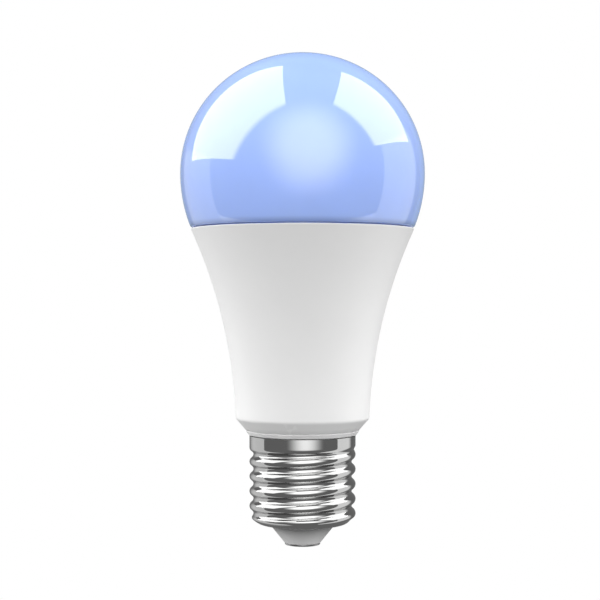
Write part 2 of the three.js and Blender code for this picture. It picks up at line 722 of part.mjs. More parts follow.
add("live_wire", tube([
  [0, 0, RIVET_TOP_Z + FIT_GAP],
  [0, 0, 5.5],
  [0, 0, 8.2],
  [-1.8, -0.6, 10.2],
  [-3.8, -1.3, 11.4],
  [RESISTOR_AT.x, RESISTOR_AT.y, RESISTOR_AT.z - 0.3],
], WIRE_RADIUS.live, 10), RED_WIRE);

add("neutral_wire", tube([
  [6, 0.2, 13],
  [6.3, 0.1, 10.4],
  [7.6, 0, 8.9],
  [9.6, 0, 8.7],
  [11, 0, 9],
], WIRE_RADIUS.neutral, 9), BLACK_WIRE);

export default bulb;
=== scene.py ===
"""A lit blue LED bulb on an E27 screw cap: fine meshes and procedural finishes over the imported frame."""
import math

import bmesh
import bpy
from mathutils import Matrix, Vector

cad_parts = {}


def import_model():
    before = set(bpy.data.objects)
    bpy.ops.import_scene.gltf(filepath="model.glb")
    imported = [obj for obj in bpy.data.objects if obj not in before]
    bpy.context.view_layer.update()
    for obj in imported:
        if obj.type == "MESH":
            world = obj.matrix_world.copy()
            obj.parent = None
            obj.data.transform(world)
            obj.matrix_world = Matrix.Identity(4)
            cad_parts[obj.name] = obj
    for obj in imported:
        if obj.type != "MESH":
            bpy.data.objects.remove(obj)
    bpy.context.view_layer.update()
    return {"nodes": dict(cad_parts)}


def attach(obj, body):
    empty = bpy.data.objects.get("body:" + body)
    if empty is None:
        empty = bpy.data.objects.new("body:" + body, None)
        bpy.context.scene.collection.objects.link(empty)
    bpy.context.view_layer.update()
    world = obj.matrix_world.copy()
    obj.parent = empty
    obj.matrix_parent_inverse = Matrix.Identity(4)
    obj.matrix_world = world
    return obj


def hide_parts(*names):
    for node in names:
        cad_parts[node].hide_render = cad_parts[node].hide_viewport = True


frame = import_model()
MM = 0.001
ON_AXIS = 1e-5

# ---------- dimensions in millimetres: the part's, with its seam, lip and cap refined by tenths ----------

OVERALL_HEIGHT = 120.6
GLOBE_RADIUS = 30
GLOBE_WIDEST_Z = 91
GLOBE_LOWER_AXIS = 32.7
GLOBE_WALL = 1.1
SEAM_Z = 77.55
SEAM_GAP = 0.3
SPIGOT_RADIUS = 24
SPIGOT_DEPTH = 2.95
REBATE_RADIUS = 25
REBATE_DEPTH = 3.35
FIT_GAP = 0.3

HOUSING_WALL = 1.6
FLARE_FOOT = (16.43, 31)
FLARE_PULLS = ((16.95, 45.2), (20, 61.3))
SHOULDER_ROUND = 1.3
LIP_RADIUS = 14.05
LIP_Z = 27.08
LIP_HEIGHT = 1.05
LIP_FOOT_RADIUS = 13.35
LIP_LINE = 0.3
LIP_LEAN = 0.08
CONE_WAIST_RADIUS = 15.05
CONE_WAIST_RISE = 2.4
NECK_RADIUS = 11.4
NECK_BORE = 9.9
NECK_FOOT_Z = 9.5
COLLAR_RADIUS = 12.35
COLLAR_HEIGHT = 2.4
COLLAR_GROOVE = 0.7

THREAD_PITCH = 25.4 / 7
THREAD_DEPTH = 0.98
CREST_ARC = 1.17
ROOT_ARC = 0.88
THREAD_FLANK = math.radians(46)
THREAD_ROOT_RADIUS = 13.05 - THREAD_DEPTH
THREAD_PHASE_Z = 0.41
THREAD_FOOT = (5.3, 7.4)
THREAD_RUN_OUT = (22.4, 24.5)
SHEET = 0.35
SHELL_TOP_Z = 26.8
SHELL_CORNER_RADIUS = 2
SHELL_CORNER_Z = 7.2
SHELL_MOUTH_RADIUS = 8
SHELL_MOUTH_RISE = 0.4

CONTACT_RADIUS = 4.35
CONTACT_THICKNESS = 0.45
CONTACT_DISH = 0.1
CONTACT_DISH_RADIUS = 1.6
CONTACT_RIM_RADIUS = 2.3
RIVET_RADIUS = 1.1
RIVET_TOP_Z = 2.4
INSULATOR_FOOT_RADIUS = 4.45
INSULATOR_TOP_RADIUS = 7.6
INSULATOR_TOP_Z = 4.4
INSULATOR_BORE = 1.5
PLUG_RADIUS = THREAD_ROOT_RADIUS - 1.2
PLUG_TOP_Z = NECK_FOOT_Z - 1.6

AROUND = 224

# ---------- mesh building ----------


def make_object(name, verts, faces, sharp=40):
    """A mesh object from points in millimetres, smooth except across edges sharper than the angle."""
    mesh = bpy.data.meshes.new(name)
    mesh.from_pydata([tuple(c * MM for c in v) for v in verts], [], faces)
    made = bmesh.new()
    made.from_mesh(mesh)
    bmesh.ops.recalc_face_normals(made, faces=made.faces)
    made.to_mesh(mesh)
    made.free()
    mesh.polygons.foreach_set("use_smooth", [True] * len(mesh.polygons))
    mesh.set_sharp_from_angle(angle=math.radians(sharp))
    piece = bpy.data.objects.new(name, mesh)
    bpy.context.scene.collection.objects.link(piece)
    return piece


def rounded(corners, steps=5):
    """An outline whose corners are (radius, height) or (radius, height, fillet)."""
    points = []
    count = len(corners)
    for i, corner in enumerate(corners):
        here = Vector(corner[:2])
        if len(corner) < 3:
            points.append(tuple(here))
            continue
        before = (Vector(corners[i - 1][:2]) - here).normalized()
        after = (Vector(corners[(i + 1) % count][:2]) - here).normalized()
        half = before.angle(after) / 2
        reach = corner[2] / math.tan(half)
        centre = here + (before + after).normalized() * (corner[2] / math.sin(half))
        start, end = here + before * reach - centre, here + after * reach - centre
        turn = start.angle(end)
        for k in range(steps + 1):
            a, b = math.sin((1 - k / steps) * turn), math.sin(k / steps * turn)
            points.append(tuple(centre + (start * a + end * b) / math.sin(turn)))
    return points


def lathe(name, outline, around=AROUND, shift=None, sharp=40):
    """Turns a closed outline about Z. shift(angle, height) adds to the radius."""
    rings, verts = [], []
    for radius, height in outline:
        if radius < ON_AXIS:
            rings.append([len(verts)])
            verts.append((0, 0, height))
            continue
        rings.append(list(range(len(verts), len(verts) + around)))
        for k in range(around):
            angle = 2 * math.pi * k / around
            grown = radius + (shift(angle, height) if shift else 0)
            verts.append((grown * math.cos(angle), grown * math.sin(angle), height))
    faces = []
    for i, low in enumerate(rings):
        high = rings[(i + 1) % len(rings)]
        if len(low) == 1 and len(high) == 1:
            continue
        for k in range(around):
            n = (k + 1) % around
            if len(low) == 1:
                faces.append((low[0], high[n], high[k]))
            elif len(high) == 1:
                faces.append((low[k], low[n], high[0]))
            else:
                faces.append((low[k], low[n], high[n], high[k]))
    return make_object(name, verts, faces, sharp)


# ---------- outlines ----------


def globe_arc(inset, start, end, steps):
    """The globe's outside, or a line inside it, between two angles above its widest circle."""
    points = []
    for i in range(steps + 1):
        angle = start + (end - start) * i / steps
        axis = GLOBE_LOWER_AXIS if angle < 0 else OVERALL_HEIGHT - GLOBE_WIDEST_Z
        radius = max(0.0, (GLOBE_RADIUS - inset) * math.cos(angle))
        height = GLOBE_WIDEST_Z + (axis - inset) * math.sin(angle)
        points.append((radius if radius > ON_AXIS else 0.0, height))
    return points


def globe_angle(height, inset=0.0):
    """The angle below the widest circle where the globe, or a line inside it, has the height."""
    return -math.asin((GLOBE_WIDEST_Z - height) / (GLOBE_LOWER_AXIS - inset))


SEAM_RADIUS = globe_arc(0, globe_angle(SEAM_Z + SEAM_GAP), 0, 1)[0][0]


def flare_point(t):
    """A point of the housing's concave flare, from its foot at 0 to the seam at 1."""
    ends = (FLARE_FOOT, *FLARE_PULLS, (SEAM_RADIUS, SEAM_Z))
    weights = ((1 - t) ** 3, 3 * t * (1 - t) ** 2, 3 * t * t * (1 - t), t ** 3)
    return tuple(sum(w * p[axis] for w, p in zip(weights, ends)) for axis in (0, 1))


def flare_radius(height):
    """The flare's radius at a height, found by halving."""
    low, high = 0.0, 1.0
    for _ in range(40):
        middle = (low + high) / 2
        low, high = (middle, high) if flare_point(middle)[1] < height else (low, middle)
    return flare_point(low)[0]


def flare_line(start, end, inset, steps):
    """Points of the flare, or of a line inside it, between two heights."""
    heights = [start + (end - start) * i / steps for i in range(steps + 1)]
    return [(flare_radius(z) - inset, z) for z in heights]


# ---------- outside pieces ----------


def diffuser_globe():
    """The blown diffuser: a thin shell with a rolled lower edge and a spigot down into the housing."""
    edge_round = 0.75
    straight = 1.6
    shoulder_z = SEAM_Z + SEAM_GAP
    floor_z = shoulder_z + GLOBE_WALL
    foot_z = SEAM_Z - SPIGOT_DEPTH
    bore = SPIGOT_RADIUS - GLOBE_WALL
    outline = rounded([
        (bore, foot_z, 0.2),
        (SPIGOT_RADIUS, foot_z, 0.2),
        (SPIGOT_RADIUS, shoulder_z),
        (SEAM_RADIUS, shoulder_z, edge_round),
        *globe_arc(0, globe_angle(shoulder_z + straight), 0, 14),
        *globe_arc(0, 0, math.pi / 2, 64)[1:],
        *globe_arc(GLOBE_WALL, math.pi / 2, 0, 48),
        *globe_arc(GLOBE_WALL, 0, globe_angle(floor_z + 0.4, GLOBE_WALL), 12)[1:],
        (bore, floor_z, 0.4),
    ], steps=8)
    return lathe("diffuser_shell", outline, sharp=50)


def sealant_bead():
    """The bead between the globe's spigot and the housing, with a sunk top."""
    inner, outer = SPIGOT_RADIUS + FIT_GAP, REBATE_RADIUS - FIT_GAP
    foot_z = SEAM_Z - SPIGOT_DEPTH
    dip = 0.15
    outline = rounded([
        (inner, foot_z, 0.1), (outer, foot_z, 0.1), (outer, SEAM_Z), ((inner + outer) / 2, SEAM_Z - dip),
        (inner, SEAM_Z),
    ])
    return lathe("sealant_bead", outline)


def housing_shell():
    """The white body: a thin bright rim, the flare, a soft shoulder, the lip and the neck."""
    ledge_z = SEAM_Z - REBATE_DEPTH
    funnel_z = FLARE_FOOT[1] + 1.4
    line_z = LIP_Z + LIP_HEIGHT
    flare_start, flare_end = FLARE_FOOT[1] + 2.2, SEAM_Z - 0.6
    outline = rounded([
        (NECK_BORE, NECK_FOOT_Z, 0.3),
        (NECK_RADIUS, NECK_FOOT_Z, 0.3),
        (NECK_RADIUS, LIP_Z - COLLAR_HEIGHT - 1),
        (COLLAR_RADIUS, LIP_Z - COLLAR_HEIGHT, 0.2),
        (COLLAR_RADIUS, LIP_Z - COLLAR_GROOVE, 0.1),
        (NECK_RADIUS, LIP_Z - COLLAR_GROOVE),
        (NECK_RADIUS, LIP_Z, 0.1),
        (LIP_FOOT_RADIUS, LIP_Z, 0.06),
        (LIP_RADIUS - LIP_LEAN, line_z - LIP_LINE / 2),
        (LIP_RADIUS - LIP_LINE, line_z),
        (LIP_RADIUS, line_z + LIP_LINE / 2),
        (CONE_WAIST_RADIUS, LIP_Z + CONE_WAIST_RISE, 8),
        (*FLARE_FOOT, SHOULDER_ROUND),
        *flare_line(flare_start, flare_end, 0, 72),
        (SEAM_RADIUS, SEAM_Z, 0.12),
        (REBATE_RADIUS, SEAM_Z, 0.15),
        (REBATE_RADIUS, ledge_z),
        *flare_line(ledge_z, funnel_z, HOUSING_WALL, 40),
        (NECK_BORE, LIP_Z + 0.5, 0.5),
    ], steps=7)
    return lathe("housing_shell", outline, sharp=50)


def smoothstep(value, low, high):
    """0 below the first limit, 1 above the second, and smooth between them."""
    t = min(1.0, max(0.0, (value - low) / (high - low)))
    return t * t * (3 - 2 * t)


def thread_rise(from_crest):
    """Height above the thread's root, with a round crest and a slightly tighter round root."""
    crest_reach, root_reach = (arc * math.sin(THREAD_FLANK) for arc in (CREST_ARC, ROOT_ARC))
    half = THREAD_PITCH / 2
    if from_crest <= crest_reach:
        return THREAD_DEPTH - CREST_ARC + math.sqrt(CREST_ARC ** 2 - from_crest ** 2)
    if half - from_crest <= root_reach:
        return ROOT_ARC - math.sqrt(ROOT_ARC ** 2 - (half - from_crest) ** 2)
    share = (from_crest - crest_reach) / (half - crest_reach - root_reach)
    top, low = thread_rise(crest_reach), thread_rise(half - root_reach)
    return top + (low - top) * share


def shell_rise(angle, height):
    """The rolled sheet's height above the root: right-hand thread, plain band above, round edge below."""
    turns = (height - THREAD_PHASE_Z) / THREAD_PITCH - angle / (2 * math.pi)
    from_crest = abs(turns - round(turns)) * THREAD_PITCH
    groove = 1 - smoothstep(height, *THREAD_RUN_OUT)
    sunk = THREAD_DEPTH - thread_rise(min(from_crest, THREAD_PITCH / 2))
    return smoothstep(height, *THREAD_FOOT) * (THREAD_DEPTH - groove * sunk)


def shell_face(inset, corner_steps, rows):
    """One face of the cap's sheet, from its mouth round the corner and up the wall, before the thread."""
    corner = SHELL_CORNER_RADIUS - inset
    centre = THREAD_ROOT_RADIUS - SHELL_CORNER_RADIUS
    arc = []
    for i in range(corner_steps + 1):
        angle = -math.pi / 2 * (1 - i / corner_steps)
        arc.append((centre + corner * math.cos(angle), SHELL_CORNER_Z + corner * math.sin(angle)))
    wall = [(THREAD_ROOT_RADIUS - inset, SHELL_CORNER_Z + (SHELL_TOP_Z - SHELL_CORNER_Z) * (i + 1) / rows)
            for i in range(rows)]
    return [(SHELL_MOUTH_RADIUS, arc[0][1] - SHELL_MOUTH_RISE), *arc, *wall]


def screw_shell():
    """The rolled cap of thin plated sheet."""
    outline = shell_face(0, 14, 150) + shell_face(SHEET, 8, 56)[::-1]
    return lathe("cap_shell", outline, around=240, shift=shell_rise, sharp=60)


def base_insulator():
    """The grey cone under the cap, with the plug that fills the cap's foot."""
    foot_z = CONTACT_THICKNESS + 0.05
    flange_z = SHELL_CORNER_Z - SHELL_CORNER_RADIUS + SHEET + FIT_GAP
    outline = rounded([
        (INSULATOR_BORE, foot_z),
        (INSULATOR_FOOT_RADIUS, foot_z, 0.12),
        (INSULATOR_TOP_RADIUS, INSULATOR_TOP_Z, 0.3),
        (INSULATOR_TOP_RADIUS, flange_z),
        (THREAD_ROOT_RADIUS - SHELL_CORNER_RADIUS, flange_z, 0.2),
        (PLUG_RADIUS, flange_z + 1),
        (PLUG_RADIUS, PLUG_TOP_Z, 0.3),
        (INSULATOR_BORE, PLUG_TOP_Z, 0.2),
    ])
    return lathe("insulator_cone", outline, around=160)


def centre_contact():
    """The end disc: a slightly dished face with a rolled edge, and its rivet."""
    edge = 0.2
    outline = rounded([
        (0, CONTACT_DISH), (CONTACT_DISH_RADIUS, CONTACT_DISH), (CONTACT_RIM_RADIUS, 0.0, 0.5),
        (CONTACT_RADIUS, 0.0, edge), (CONTACT_RADIUS, CONTACT_THICKNESS, 0.08),
        (RIVET_RADIUS, CONTACT_THICKNESS, 0.1), (RIVET_RADIUS, RIVET_TOP_Z, 0.15), (0, RIVET_TOP_Z),
    ])
    return lathe("end_contact", outline, around=128)


# ---------- node helpers ----------

BLACK = (0.0, 0.0, 0.0)
WHITE = (1.0, 1.0, 1.0)


class Nodes:
    """A node tree and short ways to add to it."""

    def __init__(self, owner):
        owner.use_nodes = True
        self.tree = owner.node_tree

    def feed(self, socket, value):
        """Links an output to the socket, or sets the socket's own value."""
        if hasattr(value, "node"):
            self.tree.links.new(value, socket)
        elif socket.type == "RGBA":
            socket.default_value = (*value, 1.0)
        else:
            socket.default_value = value

    def add(self, kind, inputs=None, **settings):
        """A new node with its settings and with the inputs given by name or number."""
        made = self.tree.nodes.new(kind)
        for key, value in settings.items():
            setattr(made, key, value)
        for key, value in (inputs or {}).items():
            self.feed(made.inputs[key], value)
        return made

    def reckon(self, operation, first, second=0.0):
        """The result of one sum."""
        return self.add("ShaderNodeMath", {0: first, 1: second}, operation=operation).outputs[0]

    def blend(self, factor, first, second):
        """The first colour where the factor is 0, the second where it is 1."""
        return self.add("ShaderNodeMix", {0: factor, 6: first, 7: second}, data_type="RGBA").outputs[2]


class Finish(Nodes):
    """One material's node tree, with the few patterns that the finishes share."""

    def __init__(self, name):
        self.material = bpy.data.materials.new(name)
        super().__init__(self.material)
        self.shader = self.tree.nodes["Principled BSDF"]
        self.coords = self.add("ShaderNodeTexCoord").outputs["Object"]

    def set(self, **values):
        """Feeds the shader's sockets, named with underscores for spaces, and gives the material."""
        for name, value in values.items():
            self.feed(self.shader.inputs[name.replace("_", " ")], value)
        return self.material

    def noise(self, size_mm, detail=3.0, stretch=None):
        """Noise whose features are about the size given."""
        vector = self.coords
        if stretch:
            vector = self.add("ShaderNodeMapping", {"Vector": self.coords, "Scale": stretch}).outputs[0]
        inputs = {"Vector": vector, "Scale": 1 / MM / size_mm, "Detail": detail}
        return self.add("ShaderNodeTexNoise", inputs).outputs["Fac"]

    def remap(self, value, low, high, start=0.3, end=0.7):
        """Spreads the values between start and end, where most noise lies, over low to high."""
        inputs = {0: value, 1: start, 2: end, 3: low, 4: high}
        return self.add("ShaderNodeMapRange", inputs).outputs[0]

    def bump(self, height, strength, depth_mm):
        """A normal that stands for relief too fine for the mesh."""
        inputs = {"Height": height, "Strength": strength, "Distance": depth_mm * MM}
        return self.add("ShaderNodeBump", inputs).outputs[0]

    def rise(self, low, high, start_mm, end_mm):
        """A value that goes from low to high between two heights."""
        height = self.add("ShaderNodeSeparateXYZ", {0: self.coords}).outputs[2]
        return self.remap(height, low, high, start_mm * MM, end_mm * MM)

    def worn_edges(self, low=0.52, high=0.6):
        """1 on the sharp outer edges, 0 elsewhere."""
        sharpness = self.add("ShaderNodeNewGeometry").outputs["Pointiness"]
        return self.remap(sharpness, 0.0, 1.0, low, high)


def shade(colour, factor):
    """The colour made darker or lighter by a factor."""
    return tuple(min(1.0, c * factor) for c in colour)


# ---------- finishes of the outside: pairs of colours are the ends of a faint mottle ----------

# The glow's two ends by height: painted shade low down and painted light near the top, standing for the
# light from above.
GLOBE_GLOW_SHADED_LOW = (0.188, 0.244, 0.372)
GLOBE_GLOW_LIT_HIGH = (0.300, 0.404, 0.64)
GLOBE_BODY = ((0.18, 0.29, 0.62), (0.20, 0.32, 0.67))
GLOBE_EMISSION = 1.0
# Painted shadow at the globe's rolled lower edge: it darkens the glow over this height above the edge, down
# to this share of it at the edge.
GLOBE_RIM_SHADE_HEIGHT = 1.3
GLOBE_RIM_SHADED_SHARE = 0.2
GLOBE_GLOSS_IOR = 2.2

SILICONE_GREY = ((0.10, 0.11, 0.15), (0.14, 0.15, 0.20))

HOUSING_WHITE = ((0.725, 0.725, 0.725), (0.755, 0.755, 0.753))
HOUSING_RUBBED = (0.79, 0.79, 0.788)

NICKEL_GREY = ((0.48, 0.48, 0.48), (0.53, 0.53, 0.525))
NICKEL_RUBBED = (0.60, 0.60, 0.595)
TURNING_STRETCH = (0.15, 0.15, 9.0)

INSULATOR_GREY = ((0.66, 0.66, 0.66), (0.72, 0.72, 0.72))
# Painted shade under the cap's mouth: the grey at the cone's top and how fast the cone darkens towards it.
INSULATOR_PAINTED_SHADE_GREY = (0.25, 0.25, 0.25)
INSULATOR_SHADE_CURVE = 1.4

CONTACT_GREY = ((0.20, 0.20, 0.205), (0.28, 0.28, 0.28))
CONTACT_RUBBED = (0.32, 0.32, 0.32)


def blue_diffuser():
    """Frosted polycarbonate lit from inside, under a clear gloss skin; its glow carries painted shade,
    dimmer low down and lighter towards the top, and a painted shadow at its rim by the seam.
    """
    f = Finish("blue_diffuser")
    shoulder_z = SEAM_Z + SEAM_GAP
    # Painted light: the glow goes from the shaded low end at the seam to the lit high end at the top.
    glow = f.blend(f.rise(0.0, 1.0, SEAM_Z, OVERALL_HEIGHT), GLOBE_GLOW_SHADED_LOW, GLOBE_GLOW_LIT_HIGH)
    cloud = f.remap(f.noise(14, 2), 0.97, 1.03)
    # Painted shadow: the glow darkens towards the rolled lower edge by the seam.
    rim_shade = f.rise(GLOBE_RIM_SHADED_SHARE, 1.0, shoulder_z, shoulder_z + GLOBE_RIM_SHADE_HEIGHT)
    share = f.reckon("MULTIPLY", cloud, rim_shade)
    mottled_glow_with_painted_shade = f.add("ShaderNodeVectorMath", {0: glow, "Scale": share}, operation="SCALE").outputs[0]
    return f.set(Base_Color=f.blend(f.noise(5, 3), *GLOBE_BODY), Roughness=f.remap(f.noise(3), 0.52, 0.6),
                 Transmission_Weight=0.3, IOR=1.5, Normal=f.bump(f.noise(0.35, 4), 0.25, 0.02),
                 Emission_Color=mottled_glow_with_painted_shade, Emission_Strength=GLOBE_EMISSION,
                 Coat_Weight=1.0, Coat_Roughness=0.03, Coat_IOR=GLOBE_GLOSS_IOR)


def silicone():
    """Matt dark silicone."""
    f = Finish("silicone")
    return f.set(Base_Color=f.blend(f.noise(1.5), *SILICONE_GREY), Roughness=f.remap(f.noise(0.8), 0.5, 0.7),
                 Normal=f.bump(f.noise(0.4), 0.3, 0.03))


def white_housing():
    """Fine matt moulded plastic with a faint spark texture and soft mould flow marks."""
    f = Finish("white_housing")
    mottled = f.blend(f.noise(9, 4), *HOUSING_WHITE)
    grain = f.reckon("ADD", f.noise(0.16, 2), f.noise(0.5, 2))
    return f.set(Base_Color=f.blend(f.worn_edges(0.56, 0.66), mottled, HOUSING_RUBBED),
                 Roughness=f.remap(f.noise(2.5), 0.5, 0.58), Normal=f.bump(grain, 0.12, 0.02),
                 Specular_IOR_Level=0.35)


def nickel():
    """Polished nickel plate, with fine turning lines round the cap and light handling marks."""
    f = Finish("nickel_plate")
    mottled = f.blend(f.noise(4, 4), *NICKEL_GREY)
    lines = f.noise(1.0, 4, stretch=TURNING_STRETCH)
    return f.set(Base_Color=f.blend(f.worn_edges(0.54, 0.62), mottled, NICKEL_RUBBED), Metallic=1.0,
                 Roughness=f.remap(f.noise(2.2, 5), 0.035, 0.075), Normal=f.bump(lines, 0.02, 0.01))


def grey_insulator():
    """Satin grey moulding, with painted shade from the cap that makes it darker towards the cap."""
    f = Finish("grey_insulator")
    up = f.rise(0.0, 1.0, CONTACT_THICKNESS, INSULATOR_TOP_Z)
    # Painted shade: the cone gets darker towards the cap, where the cap shades it.
    painted_shade_share = f.reckon("POWER", up, INSULATOR_SHADE_CURVE)
    unshaded_grey = f.blend(f.noise(2, 4), *INSULATOR_GREY)
    return f.set(Base_Color=f.blend(painted_shade_share, unshaded_grey, INSULATOR_PAINTED_SHADE_GREY),
                 Roughness=f.remap(f.noise(1.2), 0.42, 0.55), Normal=f.bump(f.noise(0.3, 3), 0.2, 0.02))


def contact_metal():
    """Satin plated metal, brighter where the lampholder rubs its edge."""
    f = Finish("contact_metal")
    mottled = f.blend(f.noise(1.2, 4), *CONTACT_GREY)
    return f.set(Base_Color=f.blend(f.worn_edges(), mottled, CONTACT_RUBBED), Metallic=1.0,
                 Roughness=f.remap(f.noise(0.9, 4), 0.24, 0.42), Normal=f.bump(f.noise(0.25, 3), 0.15, 0.01))


# ---------- finishes of the inside ----------

SCALE_OF_1_MM_WAVES = 314.0
LED_FRAME = (0.8, 0.78, 0.7)


def plastic(name, colour, rough, grain_mm=0.4, **more):
    """Moulded or dipped plastic with a fine grain and lighter edges."""
    f = Finish(name)
    mottled = f.blend(f.noise(grain_mm * 6, 4), shade(colour, 0.88), shade(colour, 1.1))
    return f.set(Base_Color=f.blend(f.worn_edges(), mottled, shade(colour, 1.35)),
                 Roughness=f.remap(f.noise(grain_mm * 3), rough - 0.06, rough + 0.06),
                 Normal=f.bump(f.noise(grain_mm, 3), 0.2, 0.02), **more)


def metal(name, colour, rough, stretch=None, grain_mm=0.5):
    """Drawn or plated metal, whose grain may be stretched along the way it was drawn."""
    f = Finish(name)
    mottled = f.blend(f.noise(grain_mm * 5, 4), shade(colour, 0.86), shade(colour, 1.08))
    return f.set(Base_Color=f.blend(f.worn_edges(), mottled, shade(colour, 1.25)), Metallic=1.0,
                 Roughness=f.remap(f.noise(grain_mm * 2, 4, stretch), rough - 0.07, rough + 0.1),
                 Normal=f.bump(f.noise(grain_mm, 4, stretch), 0.12, 0.01))


def board(name, mask, track, cell_mm=1.7):
    """Solder mask over copper tracks, which show as slightly lighter raised runs."""
    f = Finish(name)
    inputs = {"Vector": f.coords, "Scale": 1 / MM / cell_mm, "Mortar Size": 0.09,
              "Color1": BLACK, "Color2": BLACK, "Mortar": WHITE}
    runs = f.add("ShaderNodeTexBrick", inputs).outputs["Color"]
    colour = f.blend(runs, f.blend(f.noise(3), mask, shade(mask, 1.2)), track)
    return f.set(Base_Color=colour, Roughness=f.remap(f.noise(0.8), 0.3, 0.42),
                 Normal=f.bump(runs, 0.4, 0.03))


def phosphor(name, dome, frame_colour, glow):
    """An LED: phosphor speckle that glows faintly, in its pale frame."""
    f = Finish(name)
    speckle = f.blend(f.noise(0.12, 2), shade(dome, 0.8), dome)
    return f.set(Base_Color=f.blend(f.remap(f.noise(1.1), 0.0, 0.25), speckle, frame_colour),
                 Roughness=f.remap(f.noise(0.4), 0.22, 0.34), Emission_Color=dome, Emission_Strength=glow,
                 Normal=f.bump(f.noise(0.2), 0.2, 0.02))


def wound(name, colour, wire_mm, rough, metallic):
    """A winding: turns side by side up the axis, with painted shade in the grooves between them."""
    f = Finish(name)
    inputs = {"Vector": f.coords, "Scale": SCALE_OF_1_MM_WAVES / wire_mm, "Distortion": 0.15}
    bands = {"wave_type": "BANDS", "bands_direction": "Z", "wave_profile": "SIN"}
    turns = f.add("ShaderNodeTexWave", inputs, **bands).outputs["Fac"]
    # Painted shade: each turn is darkened where the bump sinks into the groove between turns.
    return f.set(Base_Color=f.blend(turns, shade(colour, 0.45), colour), Metallic=metallic,
                 Roughness=f.remap(f.noise(0.6), rough - 0.05, rough + 0.08),
                 Normal=f.bump(turns, 0.6, 0.08))


def inside_finishes():
    """Material by CAD node for everything inside the housing."""
    steel = metal("steel", (0.50, 0.51, 0.52), 0.28)
    gold = metal("gold_plate", (0.60, 0.40, 0.09), 0.25)
    epoxy = plastic("black_epoxy", (0.020, 0.020, 0.021), 0.5, 0.25)
    sleeve = plastic("capacitor_sleeve", (0.012, 0.022, 0.07), 0.3, 0.5, Coat_Weight=0.4)
    moulding = plastic("black_moulding", (0.024, 0.024, 0.028), 0.45, 0.3)
    warm = phosphor("led_warm", (0.90, 0.55, 0.08), LED_FRAME, 0.05)
    cool = phosphor("led_cool", (0.82, 0.76, 0.22), LED_FRAME, 0.05)
    colour = phosphor("led_colour", (0.25, 0.45, 1.0), (0.80, 0.85, 0.90), 2.0)
    table = {
        "heat_sink_cup": metal("aluminium", (0.62, 0.63, 0.64), 0.34, (1.0, 1.0, 0.1)),
        "thermal_pad": plastic("thermal_compound", (0.50, 0.52, 0.54), 0.75, 0.5),
        "led_board": board("white_board", (0.84, 0.84, 0.80), (0.9, 0.9, 0.87), 4.2),
        "board_screw_left": steel,
        "board_screw_right": steel,
        "driver_board": board("green_board", (0.02, 0.15, 0.06), (0.04, 0.25, 0.10)),
        "fusible_resistor": plastic("black_sleeve", (0.02, 0.02, 0.023), 0.38, 0.4),
        "emi_choke": wound("copper_wire", (0.55, 0.19, 0.07), 0.35, 0.3, 1.0),
        "bridge_rectifier": epoxy,
        "input_capacitor": sleeve,
        "film_capacitor": plastic("film_red", (0.33, 0.06, 0.02), 0.32, 0.8, Coat_Weight=0.5),
        "transformer_core": plastic("ferrite", (0.035, 0.036, 0.042), 0.6, 0.3),
        "transformer_bobbin": moulding,
        "transformer_winding": wound("yellow_tape", (0.70, 0.45, 0.03), 1.6, 0.35, 0.0),
        "output_capacitor": sleeve,
        "driver_chip": epoxy,
        "output_diode": epoxy,
        "led_header": gold,
        "led_socket": moulding,
        "radio_board": board("black_board", (0.015, 0.021, 0.019), (0.04, 0.05, 0.045), 1.3),
        "radio_shield_can": steel,
        "radio_antenna": gold,
        "live_wire": plastic("red_insulation", (0.45, 0.015, 0.012), 0.4, 0.5),
        "neutral_wire": plastic("black_insulation", (0.012, 0.012, 0.014), 0.4, 0.5),
    }
    for node in frame["nodes"]:
        for start, material in (("led_warm", warm), ("led_cool", cool), ("led_colour", colour)):
            if node.startswith(start):
                table[node] = material
    return table


def dress(piece, material):
    """Gives the whole piece one material."""
    piece.data.materials.clear()
    piece.data.materials.append(material)


# ---------- building the bulb ----------


def build_outside():
    """The fine outside pieces by the CAD node that each replaces."""
    pieces = (
        (diffuser_globe, blue_diffuser, "diffuser_globe", "blue_diffuser"),
        (sealant_bead, silicone, "sealant_ring", "silicone"),
        (housing_shell, white_housing, "outer_housing", "white_housing"),
        (screw_shell, nickel, "screw_shell", "nickel_plate"),
        (base_insulator, grey_insulator, "base_insulator", "grey_insulator"),
        (centre_contact, contact_metal, "centre_contact", "contact_metal"),
    )
    made = {}
    for shape, finish, node, slot in pieces:
        piece = shape()
        made[node] = piece
        dress(piece, finish())
        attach(piece, "root")
        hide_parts(node)
    return made


def dress_inside():
    """Finishes for the CAD nodes that stay as they are."""
    for node, material in inside_finishes().items():
        dress(frame["nodes"][node], material)


# ---------- camera and floor, in metres ----------

CAMERA_PLACE = (-0.00062, -0.3487, 0.06005)
CAMERA_LENS_MM = 85
CAMERA_SENSOR_MM = 36
FLOOR_HALF = 3
FLOOR_Z = -0.0005


def camera():
    """A level camera in front of the bulb."""
    data = bpy.data.cameras.new("camera")
    data.lens = CAMERA_LENS_MM
    data.sensor_width = CAMERA_SENSOR_MM
    made = bpy.data.objects.new("camera", data)
    made.location = CAMERA_PLACE
    made.rotation_euler = (math.pi / 2, 0, 0)
    bpy.context.scene.collection.objects.link(made)
    bpy.context.scene.camera = made


def stage_sheet(name, corners, material):
    """A flat sheet of the studio, with UVs that start at its first corner."""
    mesh = bpy.data.meshes.new(name)
    mesh.from_pydata([tuple(c) for c in corners], [], [(0, 1, 2, 3)])
    uv = mesh.uv_layers.new(name="UVMap")
    for loop, place in zip(uv.data, ((0, 0), (1, 0), (1, 1), (0, 1))):
        loop.uv = place
    made = bpy.data.objects.new(name, mesh)
    bpy.context.scene.collection.objects.link(made)
    made.data.materials.append(material)
    return made


